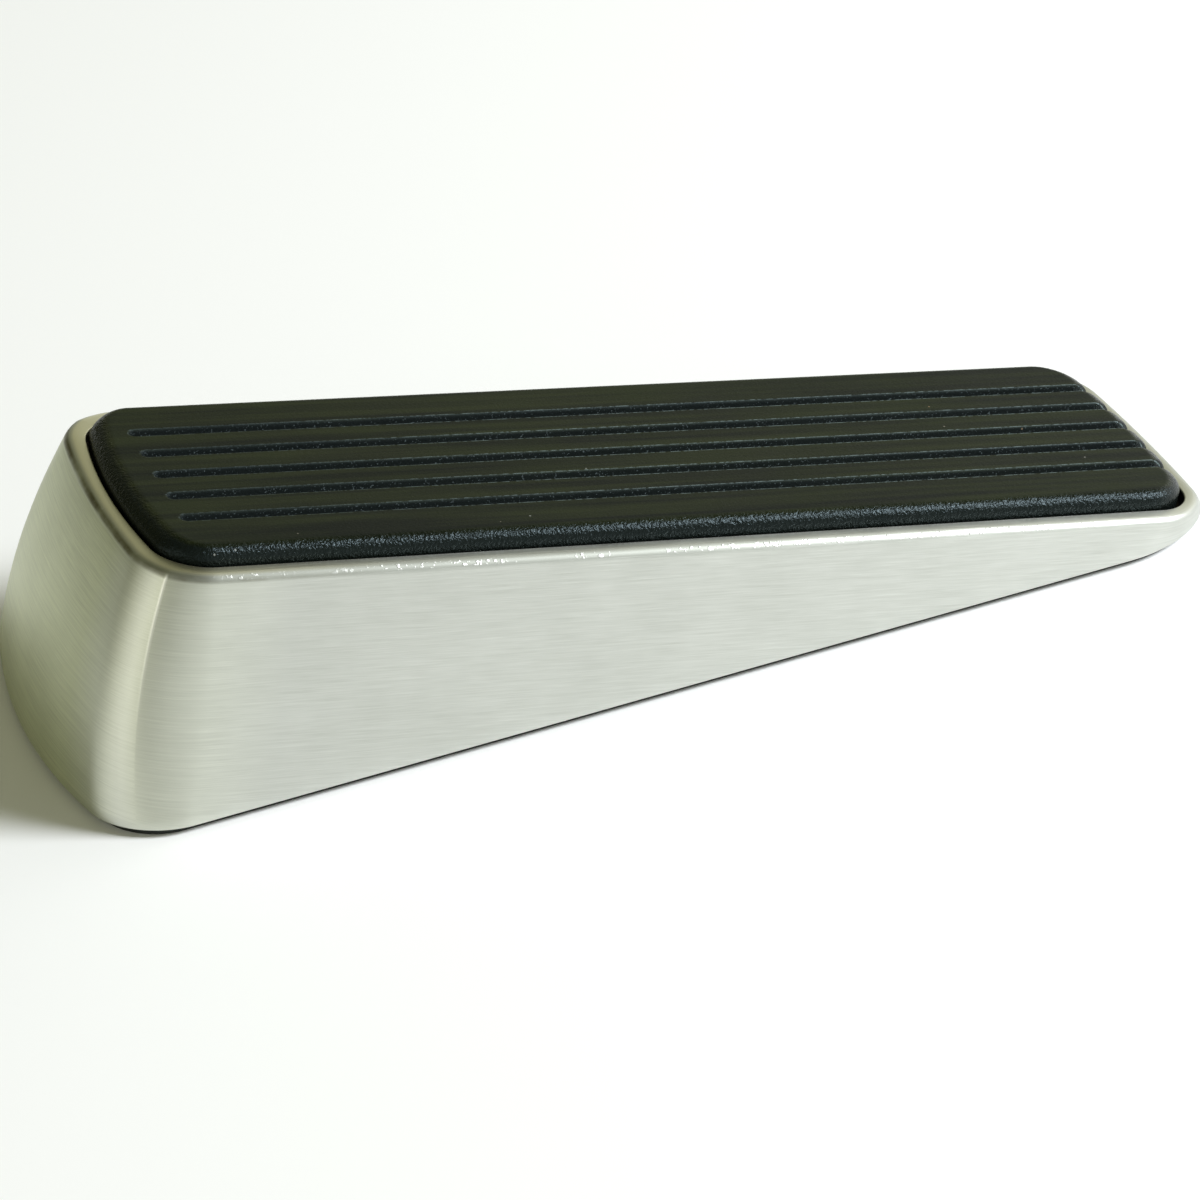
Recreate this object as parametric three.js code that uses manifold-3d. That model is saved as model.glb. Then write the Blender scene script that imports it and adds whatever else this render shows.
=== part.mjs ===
// Door wedge. A die-cast shell with a ribbed rubber tread let into its sloped top
// and a thin rubber sole let into its underside.
// Millimetres, +Z up, +X from the tall heel to the thin toe. The origin is the centre
// of the footprint, on the floor.

import * as THREE from 'three';
import { LoftGeometry } from 'three/addons/geometries/LoftGeometry.js';
import { mergeVertices } from 'three/addons/utils/BufferGeometryUtils.js';
import Module from 'manifold-3d';

// ---- Driving dimensions -------------------------------------------------------------

// Whole wedge
const OVERALL_LENGTH = 127;
const SOLE_STAND = 0.75;           // how far the sole holds the metal off the floor

// Footprint of the shell, at the bottom edge of the metal
const BASE_WIDTH = 48;             // across the heel
const BASE_HEEL_RADIUS = 6.7;
const BASE_TOE_RADIUS = 11.5;
const BASE_HEEL_BOW = 4.25;        // how far each end swells out along the wedge
const BASE_TOE_BOW = 0.9;

// Rim round the sloped top
const SLOPE = THREE.MathUtils.degToRad(11.1);
const RIM_START = 7.3;             // the heel leans in this far from the bottom to the rim
const RIM_HEIGHT = 24.6;           // above the bottom edge of the metal, at the heel
const RIM_LENGTH = 115.3;          // measured down the slope
const RIM_WIDTH = 35.5;
const RIM_HEEL_RADIUS = 5.5;
const RIM_TOE_RADIUS = 6;
const RIM_HEEL_BOW = 1.6;
const RIM_TOE_BOW = 0.85;
const RIM_EDGE = 0.7;              // size of the rounding on the rim's outer edge
const HEEL_BULGE = 1.4;            // the heel face swells this far at half its height

// Pocket for the tread
const BAND_SIDE = 1.85;            // width of metal left between pocket and rim edge
const BAND_HEEL = 1.9;
const BAND_TOE = 1.45;
const POCKET_DEPTH = 1.3;
const POCKET_HEEL_RADIUS = 4.4;
const POCKET_TOE_RADIUS = 3.8;
const POCKET_HEEL_BOW = 1.9;
const POCKET_TOE_BOW = 1.1;

// Tread
const TREAD_CLEARANCE = 0.3;       // all round, between the tread and the pocket's wall
const TREAD_TOE_RADIUS = 5.2;
const TREAD_PROUD = 1.8;           // how far the tread stands above the rim
const TREAD_EDGE_RADIUS = 1.4;
const GROOVE_COUNT = 5;
const GROOVE_PITCH = 4.5;
const GROOVE_WIDTH = 1.3;
const GROOVE_DEPTH = 0.9;
const GROOVE_START = 4.6;          // from the rim's heel end to the closed end of a groove

// Adhesive films
const FILM_THICKNESS = 0.2;
const FILM_MARGIN = 1;             // the film stops this far inside the rubber's edge
const TREAD_GAP = 0.1;             // each face of the tread's film

// Sole
const SOLE_RECESS = 0.6;           // depth of the recess in the shell's underside
const SOLE_INSET = 0.85;           // from the shell's bottom edge to the sole's side
const SOLE_CLEARANCE = 0.2;        // between the sole's side and the recess wall
const SOLE_HEEL_RADIUS = 4.8;
const SOLE_TOE_RADIUS = 10.5;

// Cored underside of the shell
const WALL = 2.8;
const DECK = 2.2;                  // metal under the pocket
const RIB = 2.4;
const LENGTHWISE_RIBS = 2;
const CROSS_RIBS = 3;
const LEAST_CELL_HEIGHT = 3;       // the cells stop where the wedge gets thinner than this
const CELL_RADIUS = 3;

// Fineness of the curved surfaces
const CORNER_STEPS = 8;            // in each rounded corner
const END_STEPS = 8;               // across each bowed end
const WALL_STEPS = 6;              // up the walls, to follow the heel's bulge
const EDGE_STEPS = 4;              // round each rounded edge
const BOW_FADE = 40;               // a bow dies away over this length

// ---- Worked out from them -----------------------------------------------------------

const BASE_LENGTH = OVERALL_LENGTH - BASE_HEEL_BOW - BASE_TOE_BOW;
const HEEL_X = -OVERALL_LENGTH / 2 + BASE_HEEL_BOW;
// Both side walls are flat, so the footprint narrows towards the line where the
// rim's plane would meet the bottom edge.
const RIM_MEETS_BASE = RIM_START + RIM_HEIGHT / Math.tan(SLOPE);
const BASE_TOE_WIDTH = BASE_WIDTH - (BASE_WIDTH - RIM_WIDTH) * BASE_LENGTH / RIM_MEETS_BASE;
// Gain in half width for each millimetre below the rim, measured square to the rim
const RIM_ABOVE_HEEL_LINE = (RIM_HEIGHT + RIM_START * Math.tan(SLOPE)) * Math.cos(SLOPE);
const FLARE = (BASE_WIDTH - RIM_WIDTH) / 2 / RIM_ABOVE_HEEL_LINE;

// Outlines: start and length run from heel to toe.
const BASE_OUTLINE = {
  start: 0,
  length: BASE_LENGTH,
  heelWidth: BASE_WIDTH,
  toeWidth: BASE_TOE_WIDTH,
  heelRadius: BASE_HEEL_RADIUS,
  toeRadius: BASE_TOE_RADIUS,
  heelBow: BASE_HEEL_BOW,
  toeBow: BASE_TOE_BOW,
};

const RIM_OUTLINE = {
  start: 0,
  length: RIM_LENGTH,
  heelWidth: RIM_WIDTH,
  toeWidth: RIM_WIDTH,
  heelRadius: RIM_HEEL_RADIUS,
  toeRadius: RIM_TOE_RADIUS,
  heelBow: RIM_HEEL_BOW,
  toeBow: RIM_TOE_BOW,
};

const POCKET_OUTLINE = {
  start: BAND_HEEL,
  length: RIM_LENGTH - BAND_HEEL - BAND_TOE,
  heelWidth: RIM_WIDTH - 2 * BAND_SIDE,
  toeWidth: RIM_WIDTH - 2 * BAND_SIDE,
  heelRadius: POCKET_HEEL_RADIUS,
  toeRadius: POCKET_TOE_RADIUS,
  heelBow: POCKET_HEEL_BOW,
  toeBow: POCKET_TOE_BOW,
};

const TREAD_OUTLINE = {
  ...inset(POCKET_OUTLINE, TREAD_CLEARANCE),
  toeRadius: TREAD_TOE_RADIUS,
};

const SOLE_OUTLINE = {
  ...inset(BASE_OUTLINE, SOLE_INSET),
  heelRadius: SOLE_HEEL_RADIUS,
  toeRadius: SOLE_TOE_RADIUS,
};

// ---- Outlines -----------------------------------------------------------------------

// The same outline, moved inwards by a margin on every side.
function inset(outline, margin) {
  return {
    ...outline,
    start: outline.start + margin,
    length: outline.length - 2 * margin,
    heelWidth: outline.heelWidth - 2 * margin,
    toeWidth: outline.toeWidth - 2 * margin,
    heelRadius: outline.heelRadius - margin,
    toeRadius: outline.toeRadius - margin,
  };
}

function quarterArc(along, across, radius, startAngle) {
  const arc = new THREE.EllipseCurve(along, across, radius, radius, startAngle, startAngle + Math.PI / 2);
  return arc.getPoints(CORNER_STEPS);
}

function betweenCorners(from, to) {
  return new THREE.LineCurve(from, to).getPoints(END_STEPS).slice(1, -1);
}

// A rounded rectangle whose ends bow outwards and whose sides may taper. The points run
// anticlockwise seen from above, x along the wedge and y across it. Every outline
// has the same number of points, so any two can be lofted together.
function outlinePoints({ start, length, heelWidth, toeWidth, heelRadius, toeRadius, heelBow, toeBow }) {
  const half = heelWidth / 2;
  const toeAlong = length - toeRadius;
  const nearToe = quarterArc(toeAlong, toeRadius - half, toeRadius, -Math.PI / 2);
  const farToe = quarterArc(toeAlong, half - toeRadius, toeRadius, 0);
  const farHeel = quarterArc(heelRadius, half - heelRadius, heelRadius, Math.PI / 2);
  const nearHeel = quarterArc(heelRadius, heelRadius - half, heelRadius, Math.PI);
  const points = [
    ...nearToe,
    ...betweenCorners(nearToe.at(-1), farToe[0]),
    ...farToe,
    ...farHeel,
    ...betweenCorners(farHeel.at(-1), nearHeel[0]),
    ...nearHeel,
  ];
  return points.map(({ x, y }) => {
    const crown = 1 - (y / half) ** 2;
    const nearTheHeel = Math.max(0, 1 - x / BOW_FADE);
    const nearTheToe = Math.max(0, 1 - (length - x) / BOW_FADE);
    const along = x + crown * (toeBow * nearTheToe - heelBow * nearTheHeel);
    const taper = THREE.MathUtils.clamp(along / length, 0, 1);
    const across = y * THREE.MathUtils.lerp(1, toeWidth / heelWidth, taper);
    return new THREE.Vector2(start + along, across);
  });
}

function levelSection(outline, z) {
  return outlinePoints(outline).map((point) => new THREE.Vector3(HEEL_X + point.x, point.y, z));
}

function sectionInTread(outline, height) {
  return outlinePoints(outline).map((point) => new THREE.Vector3(point.x, point.y, height));
}

function loft(sections) {
  const skin = new LoftGeometry(sections, { capStart: true, capEnd: true });
  return new THREE.BufferGeometry().copy(skin);
}

// ---- Solids -------------------------------------------------------------------------

const wasm = await Module();
wasm.setup();

function toSolid(geometry) {
  const bare = geometry.clone();
  bare.deleteAttribute('normal');
  bare.deleteAttribute('uv');
  const merged = mergeVertices(bare);
  return new wasm.Manifold(new wasm.Mesh({
    numProp: 3,
    vertProperties: merged.attributes.position.array,
    triVerts: merged.index.array,
  }));
}

function toGeometry(solid) {
  const { vertProperties, triVerts } = solid.getMesh();
  const geometry = new THREE.BufferGeometry();
  geometry.setAttribute('position', new THREE.BufferAttribute(vertProperties, 3));
  geometry.setIndex(new THREE.BufferAttribute(triVerts, 1));
  geometry.computeVertexNormals();
  return geometry;
}

function cut(body, cutters) {
  return cutters.reduce((solid, cutter) => solid.subtract(cutter), body);
}

// The tread's frame lies in the rim's plane: x down the slope from the rim's heel end,
// y across, z square to the rim.
const treadFrame = new THREE.Group();
treadFrame.position.set(HEEL_X + RIM_START, 0, SOLE_STAND + RIM_HEIGHT);
treadFrame.rotation.y = SLOPE;
treadFrame.updateMatrix();

function intoWedge(section) {
  return section.map((point) => point.clone().applyMatrix4(treadFrame.matrix));
}

// ---- Housing ------------------------------------------------------------------------

// One ring of the outer wall, from the bottom edge (rise 0) to the rim (rise 1). The
// heel end swells out between the two, and the swelling dies away round its corners.
function wallRing(base, rim, rise) {
  return base.map((low, index) => {
    const point = low.clone().lerp(rim[index], rise);
    const roundCorner = THREE.MathUtils.clamp((low.x - HEEL_X) / BASE_HEEL_RADIUS, 0, 1);
    const swell = 4 * rise * (1 - rise) * (1 - roundCorner ** 2);
    point.x -= HEEL_BULGE * swell;
    return point;
  });
}

// The rounding of the rim's outer edge: each wall point turns over onto the rim's face.
function rimEdgeRings(base, rim) {
  const face = intoWedge(sectionInTread(inset(RIM_OUTLINE, RIM_EDGE), 0));
  const curves = rim.map((corner, index) => {
    const toBase = base[index].clone().sub(corner).setLength(RIM_EDGE);
    return new THREE.QuadraticBezierCurve3(corner.clone().add(toBase), corner, face[index]);
  });
  const rings = [];
  for (let step = 0; step <= EDGE_STEPS; step += 1) {
    rings.push(curves.map((curve) => curve.getPoint(step / EDGE_STEPS)));
  }
  return rings;
}

function housingBlank() {
  const base = levelSection(BASE_OUTLINE, SOLE_STAND);
  const rim = intoWedge(sectionInTread(RIM_OUTLINE, 0));
  const rings = [];
  for (let step = 0; step < WALL_STEPS; step += 1) {
    rings.push(wallRing(base, rim, step / WALL_STEPS));
  }
  return toSolid(loft([...rings, ...rimEdgeRings(base, rim)]));
}

function pocketCutter() {
  const floor = intoWedge(sectionInTread(POCKET_OUTLINE, -POCKET_DEPTH));
  const above = intoWedge(sectionInTread(POCKET_OUTLINE, POCKET_DEPTH));
  return toSolid(loft([floor, above]));
}

function soleRecessCutter() {
  const recess = inset(SOLE_OUTLINE, -SOLE_CLEARANCE);
  return toSolid(loft([
    levelSection(recess, 0),
    levelSection(recess, SOLE_STAND + SOLE_RECESS),
  ]));
}

// Where the cells end: the deck comes down to their least height here.
function cellsToe() {
  const roof = RIM_HEIGHT - (POCKET_DEPTH + DECK) / Math.cos(SLOPE);
  return RIM_START + (roof - SOLE_RECESS - LEAST_CELL_HEIGHT) / Math.tan(SLOPE);
}

// The whole cored space, before the ribs are left standing in it.
function coredSpace() {
  const toe = cellsToe();
  const roofDepth = POCKET_DEPTH + DECK;
  const taperAtToe = (BASE_WIDTH - BASE_TOE_WIDTH) * toe / BASE_LENGTH;
  const mouth = {
    start: WALL,
    length: toe - WALL,
    heelWidth: BASE_WIDTH - 2 * WALL,
    toeWidth: BASE_WIDTH - taperAtToe - 2 * WALL,
    heelRadius: CELL_RADIUS,
    toeRadius: CELL_RADIUS,
    heelBow: BASE_HEEL_BOW,
    toeBow: 0,
  };
  const roofStart = WALL - roofDepth * Math.tan(SLOPE);
  const roof = {
    ...mouth,
    start: roofStart,
    length: (toe - RIM_START) / Math.cos(SLOPE) + roofDepth * Math.tan(SLOPE) - roofStart,
    heelWidth: RIM_WIDTH + 2 * FLARE * roofDepth - 2 * WALL,
    toeWidth: RIM_WIDTH + 2 * FLARE * roofDepth - 2 * WALL,
    heelBow: RIM_HEEL_BOW,
  };
  return toSolid(loft([
    levelSection(mouth, SOLE_STAND),
    intoWedge(sectionInTread(roof, -roofDepth)),
  ]));
}

function block(sizeX, sizeY, sizeZ, x, y, z) {
  const geometry = new THREE.BoxGeometry(sizeX, sizeY, sizeZ);
  geometry.translate(x, y, z);
  return toSolid(geometry);
}

// Ribs stand from the sole's recess to the deck, evenly spaced both ways.
function ribs() {
  const midLength = HEEL_X + cellsToe() / 2;
  const lengthwiseStep = BASE_WIDTH / (LENGTHWISE_RIBS + 1) - RIB / 2;
  const crossStep = cellsToe() / (CROSS_RIBS + 1);
  const solids = [];
  for (let rib = 0; rib < LENGTHWISE_RIBS; rib += 1) {
    const y = (rib - (LENGTHWISE_RIBS - 1) / 2) * lengthwiseStep;
    solids.push(block(OVERALL_LENGTH, RIB, 2 * RIM_HEIGHT, midLength, y, RIM_HEIGHT));
  }
  for (let rib = 1; rib <= CROSS_RIBS; rib += 1) {
    const x = HEEL_X + rib * crossStep;
    solids.push(block(RIB, BASE_WIDTH, 2 * RIM_HEIGHT, x, 0, RIM_HEIGHT));
  }
  return solids;
}

function housingGeometry() {
  const cells = cut(coredSpace(), ribs());
  return toGeometry(cut(housingBlank(), [pocketCutter(), soleRecessCutter(), cells]));
}

// ---- Tread --------------------------------------------------------------------------

const FILM_BOTTOM = -POCKET_DEPTH + TREAD_GAP;
const TREAD_BOTTOM = FILM_BOTTOM + FILM_THICKNESS + TREAD_GAP;

// A straight-sided pad with a rounded top edge.
function treadBlank() {
  const rings = [sectionInTread(TREAD_OUTLINE, TREAD_BOTTOM)];
  for (let step = 0; step <= EDGE_STEPS; step += 1) {
    const turn = (step / EDGE_STEPS) * Math.PI / 2;
    const margin = TREAD_EDGE_RADIUS * (1 - Math.cos(turn));
    const height = TREAD_PROUD - TREAD_EDGE_RADIUS * (1 - Math.sin(turn));
    rings.push(sectionInTread(inset(TREAD_OUTLINE, margin), height));
  }
  return toSolid(loft(rings));
}

// A slot with a round closed end at the heel, running out through the toe.
function grooveCutter(across) {
  const radius = GROOVE_WIDTH / 2;
  const plan = new THREE.Shape();
  plan.moveTo(RIM_LENGTH, across + radius);
  plan.absarc(GROOVE_START + radius, across, radius, Math.PI / 2, 1.5 * Math.PI);
  plan.lineTo(RIM_LENGTH, across - radius);
  const geometry = new THREE.ExtrudeGeometry(plan, {
    depth: 2 * GROOVE_DEPTH,
    bevelEnabled: false,
    curveSegments: CORNER_STEPS,
  });
  geometry.translate(0, 0, TREAD_PROUD - GROOVE_DEPTH);
  return toSolid(geometry);
}

function treadGeometry() {
  const grooves = [];
  for (let groove = 0; groove < GROOVE_COUNT; groove += 1) {
    grooves.push(grooveCutter((groove - (GROOVE_COUNT - 1) / 2) * GROOVE_PITCH));
  }
  return toGeometry(cut(treadBlank(), grooves));
}

function treadFilmGeometry() {
  const outline = inset(TREAD_OUTLINE, FILM_MARGIN);
  return loft([
    sectionInTread(outline, FILM_BOTTOM),
    sectionInTread(outline, FILM_BOTTOM + FILM_THICKNESS),
  ]);
}

// ---- Sole ---------------------------------------------------------------------------

const SOLE_TOP = SOLE_STAND + SOLE_RECESS - FILM_THICKNESS;

function soleGeometry() {
  return loft([
    levelSection(SOLE_OUTLINE, 0),
    levelSection(SOLE_OUTLINE, SOLE_TOP),
  ]);
}

function soleFilmGeometry() {
  const outline = inset(SOLE_OUTLINE, FILM_MARGIN);
  return loft([
    levelSection(outline, SOLE_TOP),
    levelSection(outline, SOLE_TOP + FILM_THICKNESS),
  ]);
}

// ---- Materials ----------------------------------------------------------------------

function satinNickel() {
  return new THREE.MeshStandardMaterial({ color: 0xc8ccc0, roughness: 0.38, metalness: 1 });
}

function blackRubber() {
  return new THREE.MeshStandardMaterial({ color: 0x2c2e22, roughness: 0.65, metalness: 0 });
}

function adhesive() {
  return new THREE.MeshStandardMaterial({ color: 0xd9cfa6, roughness: 0.5, metalness: 0 });
}

// ---- Assembly -----------------------------------------------------------------------

function part(name, geometry, material) {
  const mesh = new THREE.Mesh(geometry, material);
  mesh.name = name;
  return mesh;
}

treadFrame.add(
  part('tread_pad', treadGeometry(), blackRubber()),
  part('tread_adhesive', treadFilmGeometry(), adhesive()),
);

const group = new THREE.Group();
group.add(
  part('housing', housingGeometry(), satinNickel()),
  treadFrame,
  part('sole_pad', soleGeometry(), blackRubber()),
  part('sole_adhesive', soleFilmGeometry(), adhesive()),
);

export default group;
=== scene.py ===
# A door wedge: a brushed nickel shell, a ribbed rubber tread let into its sloped top and a
# thin rubber sole. Shapes are worked out in millimetres in the CAD model's frame, +X from
# heel to toe and +Z up, and become metres where a mesh is made.

import math
from dataclasses import dataclass, replace

import bpy
import numpy as np
from mathutils import Matrix, Vector


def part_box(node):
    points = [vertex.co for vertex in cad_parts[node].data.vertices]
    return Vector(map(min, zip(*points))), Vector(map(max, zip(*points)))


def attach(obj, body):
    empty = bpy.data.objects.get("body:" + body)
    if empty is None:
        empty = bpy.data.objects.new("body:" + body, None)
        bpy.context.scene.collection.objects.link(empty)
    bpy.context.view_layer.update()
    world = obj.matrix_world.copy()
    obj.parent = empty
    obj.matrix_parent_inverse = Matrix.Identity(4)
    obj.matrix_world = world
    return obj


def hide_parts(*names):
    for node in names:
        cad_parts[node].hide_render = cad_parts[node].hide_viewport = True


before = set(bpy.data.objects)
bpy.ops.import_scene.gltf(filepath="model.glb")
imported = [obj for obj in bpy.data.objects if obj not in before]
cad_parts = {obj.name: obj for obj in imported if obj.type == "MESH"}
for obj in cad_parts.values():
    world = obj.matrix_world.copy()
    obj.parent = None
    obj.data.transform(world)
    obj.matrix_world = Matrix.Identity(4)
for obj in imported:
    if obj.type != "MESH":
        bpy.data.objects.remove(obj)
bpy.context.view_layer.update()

MM = 0.001

# ---- Driving dimensions, in millimetres, shared with the CAD model ---------------------

SLOPE = math.radians(11.1)
RIM_START = 7.3
RIM_HEIGHT = 24.6
BOW_FADE = 40.0
RIM_EDGE = 0.7
HEEL_BULGE = 1.4
POCKET_DEPTH = 1.3
TREAD_CLEARANCE = 0.3
TREAD_PROUD = 1.8
TREAD_EDGE_RADIUS = 1.4
GROOVE_COUNT = 5
GROOVE_PITCH = 4.5
GROOVE_WIDTH = 1.3
GROOVE_DEPTH = 0.9
GROOVE_START = 4.6
SOLE_INSET = 0.85
SOLE_RECESS = 0.6
SOLE_CLEARANCE = 0.2
WALL = 2.8
DECK = 2.2
RIB = 2.4
CELL_RADIUS = 3.0
LEAST_CELL_HEIGHT = 3.0

# ---- Taken from the frame ---------------------------------------------------------------

SHELL_LOW, SHELL_HIGH = (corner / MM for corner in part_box("housing"))
SOLE_LOW, SOLE_HIGH = (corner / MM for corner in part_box("sole_pad"))
STAND = SHELL_LOW.z
LENGTH = SHELL_HIGH.x - SHELL_LOW.x

# ---- Outlines ---------------------------------------------------------------------------

CORNER_STEPS = 20
END_STEPS = 24
SIDE_STEPS = 30
# Shares of each half of a heel corner, from the crease in its middle outwards. They crowd
# together at the crease.
CREASE_PLACES = np.array(
    [0, 0.006, 0.016, 0.04, 0.09, 0.16, 0.25, 0.35, 0.45, 0.56, 0.67, 0.78, 0.89, 1]
)


@dataclass(frozen=True)
class Outline:
    """A rounded rectangle with bowed ends and tapering sides, from heel to toe."""

    start: float
    length: float
    heel_width: float
    toe_width: float
    heel_radius: float
    toe_radius: float
    heel_bow: float
    toe_bow: float

    def inset(self, margin):
        return replace(
            self,
            start=self.start + margin,
            length=self.length - 2 * margin,
            heel_width=self.heel_width - 2 * margin,
            toe_width=self.toe_width - 2 * margin,
            heel_radius=self.heel_radius - margin,
            toe_radius=self.toe_radius - margin,
        )

    def bowed(self, points):
        """Bows the ends of plain rounded-rectangle points and tapers their sides."""
        along, across = points[:, 0], points[:, 1]
        crown = 1 - (across / (self.heel_width / 2)) ** 2
        near_heel = np.maximum(0, 1 - along / BOW_FADE)
        near_toe = np.maximum(0, 1 - (self.length - along) / BOW_FADE)
        along = along + crown * (self.toe_bow * near_toe - self.heel_bow * near_heel)
        taper = np.clip(along / self.length, 0, 1)
        narrowing = 1 + (self.toe_width / self.heel_width - 1) * taper
        return np.column_stack((self.start + along, across * narrowing))

    def points(self, crease=0.0):
        """The outline, anticlockwise from above, from the middle of the near heel corner.
        Both heel corners are creased there: their halves meet at twice the angle crease."""
        half = self.heel_width / 2
        toe = self.toe_radius
        side_half, heel_half = self.heel_corner(crease)
        sweep = math.pi / 2
        near_toe = arc(self.length - toe, toe - half, toe, -sweep, sweep)
        far_toe = arc(self.length - toe, half - toe, toe, 0.0, sweep)
        mirror = (1, -1)
        points = np.concatenate((
            side_half,
            between(side_half[-1], near_toe[0], SIDE_STEPS),
            near_toe,
            between(near_toe[-1], far_toe[0], END_STEPS),
            far_toe,
            between(far_toe[-1], side_half[-1] * mirror, SIDE_STEPS),
            side_half[::-1] * mirror,
            heel_half[1:] * mirror,
            between(heel_half[-1] * mirror, heel_half[-1], END_STEPS),
            heel_half[:0:-1],
        ))
        return self.bowed(points)

    def heel_corner(self, crease):
        """The near heel corner's two halves, each from its middle outwards: the one that
        runs into the side and the one that runs into the heel."""
        half = self.heel_width / 2
        sweep = math.pi / 4 - crease
        radius = self.heel_radius * (1 - math.cos(math.pi / 4)) / (1 - math.cos(sweep))
        reach = radius * (1 - math.cos(sweep) + math.sin(sweep))
        angles = sweep * (1 - CREASE_PLACES)
        away = reach - radius * np.sin(angles)
        close = radius * (1 - np.cos(angles))
        return np.column_stack((away, close - half)), np.column_stack((close, away - half))


def arc(centre_along, centre_across, radius, start, sweep):
    angles = np.linspace(start, start + sweep, CORNER_STEPS + 1)
    return np.column_stack((
        centre_along + radius * np.cos(angles),
        centre_across + radius * np.sin(angles),
    ))


def between(first, last, steps):
    """Evenly spaced points strictly between two points."""
    return first + np.outer(np.linspace(0, 1, steps + 1)[1:-1], last - first)


# The place of the far crease among an outline's points.
FAR_CREASE = 2 * (len(CREASE_PLACES) + SIDE_STEPS - 1 + CORNER_STEPS + 1) + END_STEPS - 2


BASE_HEEL_BOW = 4.25
BASE_TOE_BOW = 0.9
BASE_LENGTH = LENGTH - BASE_HEEL_BOW - BASE_TOE_BOW
BASE_WIDTH = 48.0
BASE_HEEL_RADIUS = 6.7
RIM_LENGTH = 115.3
RIM_WIDTH = 35.5
HEEL_X = SHELL_LOW.x + BASE_HEEL_BOW
RIM_MEETS_BASE = RIM_START + RIM_HEIGHT / math.tan(SLOPE)
BASE_TOE_WIDTH = BASE_WIDTH - (BASE_WIDTH - RIM_WIDTH) * BASE_LENGTH / RIM_MEETS_BASE

BASE = Outline(
    start=0, length=BASE_LENGTH, heel_width=BASE_WIDTH, toe_width=BASE_TOE_WIDTH,
    heel_radius=BASE_HEEL_RADIUS, toe_radius=11.5, heel_bow=BASE_HEEL_BOW, toe_bow=BASE_TOE_BOW,
)
RIM = Outline(
    start=0, length=RIM_LENGTH, heel_width=RIM_WIDTH, toe_width=RIM_WIDTH,
    heel_radius=5.5, toe_radius=6.0, heel_bow=1.6, toe_bow=0.85,
)
BAND_SIDE, BAND_HEEL, BAND_TOE = 1.85, 1.9, 1.45
POCKET_LENGTH = RIM_LENGTH - BAND_HEEL - BAND_TOE
POCKET_WIDTH = RIM_WIDTH - 2 * BAND_SIDE
POCKET = Outline(
    start=BAND_HEEL, length=POCKET_LENGTH, heel_width=POCKET_WIDTH, toe_width=POCKET_WIDTH,
    heel_radius=4.4, toe_radius=3.8, heel_bow=1.9, toe_bow=1.1,
)
TREAD = replace(POCKET.inset(TREAD_CLEARANCE), toe_radius=4.6)
SOLE = replace(BASE.inset(SOLE_INSET), heel_radius=4.8, toe_radius=10.5)


def level(points, z):
    """Outline points laid level at a height above the floor."""
    return np.column_stack((HEEL_X + points[:, 0], points[:, 1], np.full(len(points), z)))


def sloped(points, height):
    """Outline points laid in the rim's plane, raised square to it."""
    along, across = points[:, 0], points[:, 1]
    rise = np.broadcast_to(height, along.shape)
    return np.column_stack((
        HEEL_X + RIM_START + along * math.cos(SLOPE) + rise * math.sin(SLOPE),
        across,
        STAND + RIM_HEIGHT - along * math.sin(SLOPE) + rise * math.cos(SLOPE),
    ))


def height_over_rim(points):
    """How far points lie above the rim's plane, square to it."""
    across_x = (points[:, 0] - HEEL_X - RIM_START) * math.sin(SLOPE)
    return across_x + (points[:, 2] - STAND - RIM_HEIGHT) * math.cos(SLOPE)


# ---- Meshes -----------------------------------------------------------------------------

def make_object(name, vertices, faces, smooth=True):
    mesh = bpy.data.meshes.new(name)
    mesh.from_pydata((vertices * MM).tolist(), [], faces)
    mesh.validate()
    mesh.update()
    if smooth:
        mesh.shade_smooth()
    piece = bpy.data.objects.new(name, mesh)
    bpy.context.scene.collection.objects.link(piece)
    return piece


def skin_faces(ring_count, ring_size):
    """Faces of a closed tube of rings, its two ends capped."""
    faces = []
    for ring in range(ring_count - 1):
        low = ring * ring_size
        for place in range(ring_size):
            ahead = (place + 1) % ring_size
            faces.append((low + place, low + ahead, low + ring_size + ahead, low + ring_size + place))
    faces.append(tuple(range(ring_size - 1, -1, -1)))
    last = (ring_count - 1) * ring_size
    faces.append(tuple(range(last, last + ring_size)))
    return faces


SHARP_ANGLE = math.radians(35)


def keep_caps_flat(piece):
    """Splits the shading at sharp edges."""
    piece.data.set_sharp_from_angle(angle=SHARP_ANGLE)


# ---- Housing ----------------------------------------------------------------------------

WALL_STEPS = 26
EDGE_STEPS = 8
CREASE = math.radians(6)
CREASE_FADE = 0.7
BOTTOM_EDGE = 0.25
BOTTOM_EDGE_TURN = 0.3
POCKET_EDGE = 0.15
POCKET_EDGE_RINGS = 4


def outer_ring(share):
    """The outer wall, from the rounding of its bottom edge (share 0) to the rounding of the
    rim's edge (share 1). The heel swells out between them, and the creases in its corners
    fade out towards the floor."""
    crease = CREASE * share ** CREASE_FADE
    base = level(BASE.points(crease), STAND)
    rim = sloped(RIM.points(crease), 0)
    height = np.linalg.norm(rim - base, axis=1)
    rise = BOTTOM_EDGE / height * (1 - share) + (1 - RIM_EDGE / height) * share
    ring = base + (rim - base) * rise[:, None]
    round_corner = np.clip((base[:, 0] - HEEL_X) / BASE_HEEL_RADIUS, 0, 1)
    ring[:, 0] -= HEEL_BULGE * 4 * rise * (1 - rise) * (1 - round_corner ** 2)
    return ring


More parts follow.
